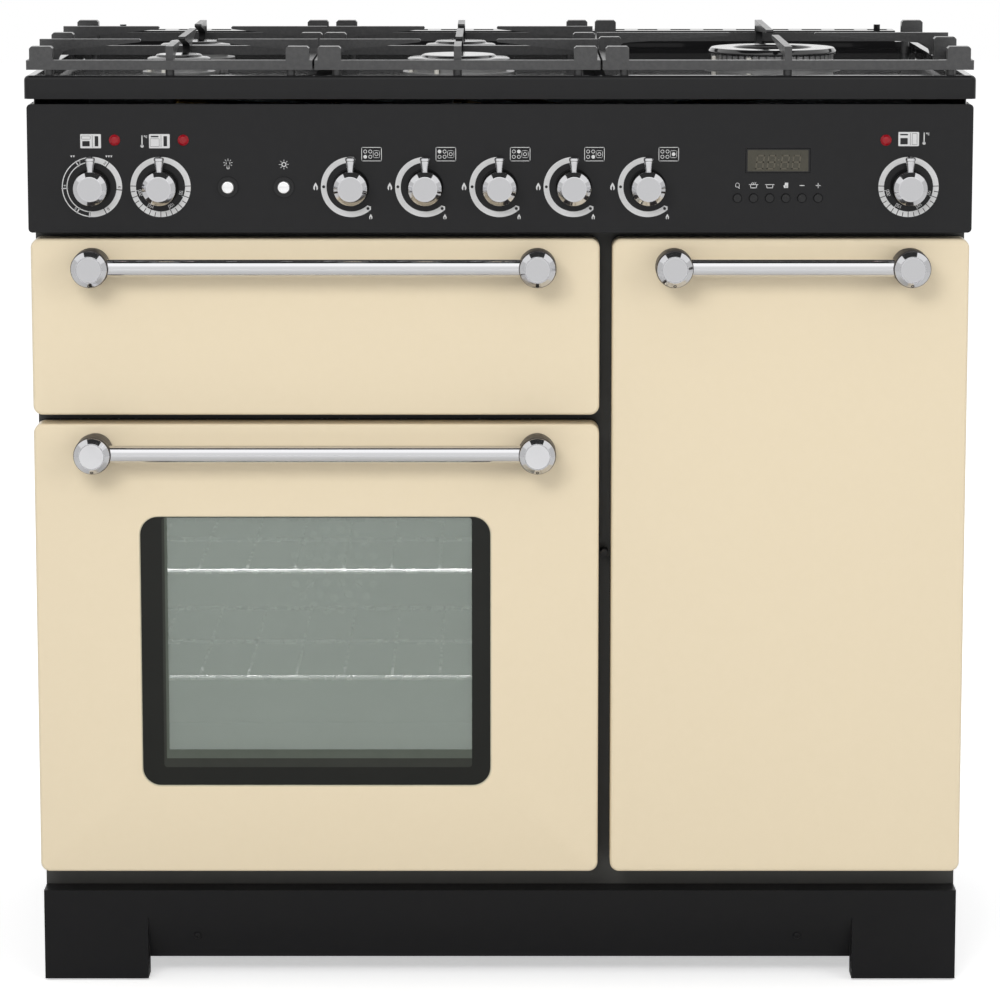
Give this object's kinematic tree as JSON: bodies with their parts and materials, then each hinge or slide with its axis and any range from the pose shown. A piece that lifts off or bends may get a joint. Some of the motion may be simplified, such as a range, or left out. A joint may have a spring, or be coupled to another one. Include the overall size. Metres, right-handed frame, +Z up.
{
  "type": "dual fuel range cooker",
  "caption": "Free-standing range cooker: gas hotplate with pan supports, drop-down grill door, windowed oven door and tall oven door, knob panel and plinth.",
  "frame": {"origin": "on the floor, under the middle of the footprint between the door handles' faces and the hotplate's back edge", "axes": "+X to the right seen from the front, +Y to the back, +Z up"},
  "size_m": [0.9, 0.648, 0.916],
  "materials": {
    "black_enamel": "gloss",
    "cream_enamel": "gloss",
    "oven_enamel": "gloss",
    "painted_steel": "satin",
    "galvanised": "satin",
    "steel": "satin",
    "cast_iron": "matt enamel",
    "aluminium": "satin",
    "cap_enamel": "satin",
    "spark_ceramic": "glazed",
    "display": "gloss",
    "red_lens": "gloss",
    "brass": "satin",
    "black_plastic": "satin",
    "button_plastic": "gloss",
    "chrome": "polished",
    "rubber": "matt",
    "glass": "tinted"
  },
  "bodies": {
    "cooker": {"base_tray": "galvanised", "side_panels": "painted_steel", "back_panel": "galvanised", "front_frame": "black_enamel", "plinth": "painted_steel", "levelling_feet": "steel", "hotplate": "black_enamel", "vent_strip": "black_enamel", "left_pan_support": "cast_iron", "middle_pan_support": "cast_iron", "right_pan_support": "cast_iron", "burner_heads": "aluminium", "burner_caps": "cap_enamel", "spark_electrodes": "spark_ceramic", "control_panel": "black_enamel", "timer_unit": "display", "lamp_lenses": "red_lens", "gas_rail": "brass", "control_units": "black_plastic", "grill_chamber": "oven_enamel", "grill_pan": "oven_enamel", "grill_grid": "chrome", "heating_elements": "steel", "left_oven_liner": "oven_enamel", "right_oven_liner": "oven_enamel", "oven_shelves": "chrome", "fan_covers": "oven_enamel", "fan_motors": "galvanised", "hinge_fittings": "steel", "door_seals": "rubber"},
    "grill_door": {"grill_door": "cream_enamel", "grill_door_back": "black_enamel", "grill_door_handle": "chrome"},
    "left_door": {"left_door": "cream_enamel", "left_door_back": "black_enamel", "left_door_glass": "glass", "left_door_handle": "chrome"},
    "right_door": {"right_door": "cream_enamel", "right_door_back": "black_enamel", "right_door_handle": "chrome"},
    "gas_knob_1": {"gas_knob_1": "chrome"},
    "gas_knob_2": {"gas_knob_2": "chrome"},
    "gas_knob_3": {"gas_knob_3": "chrome"},
    "gas_knob_4": {"gas_knob_4": "chrome"},
    "gas_knob_5": {"gas_knob_5": "chrome"},
    "grill_knob": {"grill_knob": "chrome"},
    "left_oven_knob": {"left_oven_knob": "chrome"},
    "right_oven_knob": {"right_oven_knob": "chrome"},
    "light_button": {"light_button": "button_plastic"},
    "ignition_button": {"ignition_button": "button_plastic"},
    "timer_button_1": {"timer_button_1": "black_plastic"},
    "timer_button_2": {"timer_button_2": "black_plastic"},
    "timer_button_3": {"timer_button_3": "black_plastic"},
    "timer_button_4": {"timer_button_4": "black_plastic"},
    "timer_button_5": {"timer_button_5": "black_plastic"},
    "timer_button_6": {"timer_button_6": "black_plastic"},
    "left_roller": {"left_roller": "black_plastic"},
    "right_roller": {"right_roller": "black_plastic"},
    "left_fan": {"left_fan": "galvanised"},
    "right_fan": {"right_fan": "galvanised"}
  },
  "joints": [
    {"name": "grill_door_drop", "type": "hinge", "parent": "cooker", "child": "grill_door", "pos_m": [0, -0.269, 0.5704], "axis": [1, 0, 0], "range_deg": [0, 90]},
    {"name": "left_door_swing", "type": "hinge", "parent": "cooker", "child": "left_door", "pos_m": [-0.444, -0.238, 0.2035], "axis": [0, 0, -1], "range_deg": [0, 110]},
    {"name": "right_door_swing", "type": "hinge", "parent": "cooker", "child": "right_door", "pos_m": [0.444, -0.238, 0.2035], "axis": [0, 0, 1], "range_deg": [0, 110]},
    {"name": "gas_knob_1_turn", "type": "hinge", "parent": "cooker", "child": "gas_knob_1", "pos_m": [-0.1413, -0.281, 0.7833], "axis": [0, -1, 0], "range_deg": [0, 218]},
    {"name": "gas_knob_2_turn", "type": "hinge", "parent": "cooker", "child": "gas_knob_2", "pos_m": [-0.0709, -0.281, 0.7833], "axis": [0, -1, 0], "range_deg": [0, 218]},
    {"name": "gas_knob_3_turn", "type": "hinge", "parent": "cooker", "child": "gas_knob_3", "pos_m": [-0.0005, -0.281, 0.7833], "axis": [0, -1, 0], "range_deg": [0, 218]},
    {"name": "gas_knob_4_turn", "type": "hinge", "parent": "cooker", "child": "gas_knob_4", "pos_m": [0.0699, -0.281, 0.7833], "axis": [0, -1, 0], "range_deg": [0, 218]},
    {"name": "gas_knob_5_turn", "type": "hinge", "parent": "cooker", "child": "gas_knob_5", "pos_m": [0.1403, -0.281, 0.7833], "axis": [0, -1, 0], "range_deg": [0, 218]},
    {"name": "grill_knob_turn", "type": "hinge", "parent": "cooker", "child": "grill_knob", "pos_m": [-0.387, -0.281, 0.7833], "axis": [0, -1, 0], "range_deg": [-150, 150]},
    {"name": "left_oven_knob_turn", "type": "hinge", "parent": "cooker", "child": "left_oven_knob", "pos_m": [-0.322, -0.281, 0.7833], "axis": [0, 1, 0], "range_deg": [0, 290]},
    {"name": "right_oven_knob_turn", "type": "hinge", "parent": "cooker", "child": "right_oven_knob", "pos_m": [0.3875, -0.281, 0.7833], "axis": [0, 1, 0], "range_deg": [0, 290]},
    {"name": "light_button_press", "type": "slide", "parent": "cooker", "child": "light_button", "axis": [0, 1, 0], "range_m": [0, 0.003], "stiffness_N_per_m": 300},
    {"name": "ignition_button_press", "type": "slide", "parent": "cooker", "child": "ignition_button", "axis": [0, 1, 0], "range_m": [0, 0.003], "stiffness_N_per_m": 300},
    {"name": "timer_button_1_press", "type": "slide", "parent": "cooker", "child": "timer_button_1", "axis": [0, 1, 0], "range_m": [0, 0.0012], "stiffness_N_per_m": 300},
    {"name": "timer_button_2_press", "type": "slide", "parent": "cooker", "child": "timer_button_2", "axis": [0, 1, 0], "range_m": [0, 0.0012], "stiffness_N_per_m": 300},
    {"name": "timer_button_3_press", "type": "slide", "parent": "cooker", "child": "timer_button_3", "axis": [0, 1, 0], "range_m": [0, 0.0012], "stiffness_N_per_m": 300},
    {"name": "timer_button_4_press", "type": "slide", "parent": "cooker", "child": "timer_button_4", "axis": [0, 1, 0], "range_m": [0, 0.0012], "stiffness_N_per_m": 300},
    {"name": "timer_button_5_press", "type": "slide", "parent": "cooker", "child": "timer_button_5", "axis": [0, 1, 0], "range_m": [0, 0.0012], "stiffness_N_per_m": 300},
    {"name": "timer_button_6_press", "type": "slide", "parent": "cooker", "child": "timer_button_6", "axis": [0, 1, 0], "range_m": [0, 0.0012], "stiffness_N_per_m": 300},
    {"name": "left_roller_spin", "type": "hinge", "parent": "cooker", "child": "left_roller", "pos_m": [-0.3945, 0.229, 0.02], "axis": [1, 0, 0], "continuous": true},
    {"name": "right_roller_spin", "type": "hinge", "parent": "cooker", "child": "right_roller", "pos_m": [0.3945, 0.229, 0.02], "axis": [1, 0, 0], "continuous": true},
    {"name": "left_fan_spin", "type": "hinge", "parent": "cooker", "child": "left_fan", "pos_m": [-0.1765, 0.188, 0.335], "axis": [0, 1, 0], "continuous": true},
    {"name": "right_fan_spin", "type": "hinge", "parent": "cooker", "child": "right_fan", "pos_m": [0.2775, 0.188, 0.43], "axis": [0, 1, 0], "continuous": true}
  ]
}
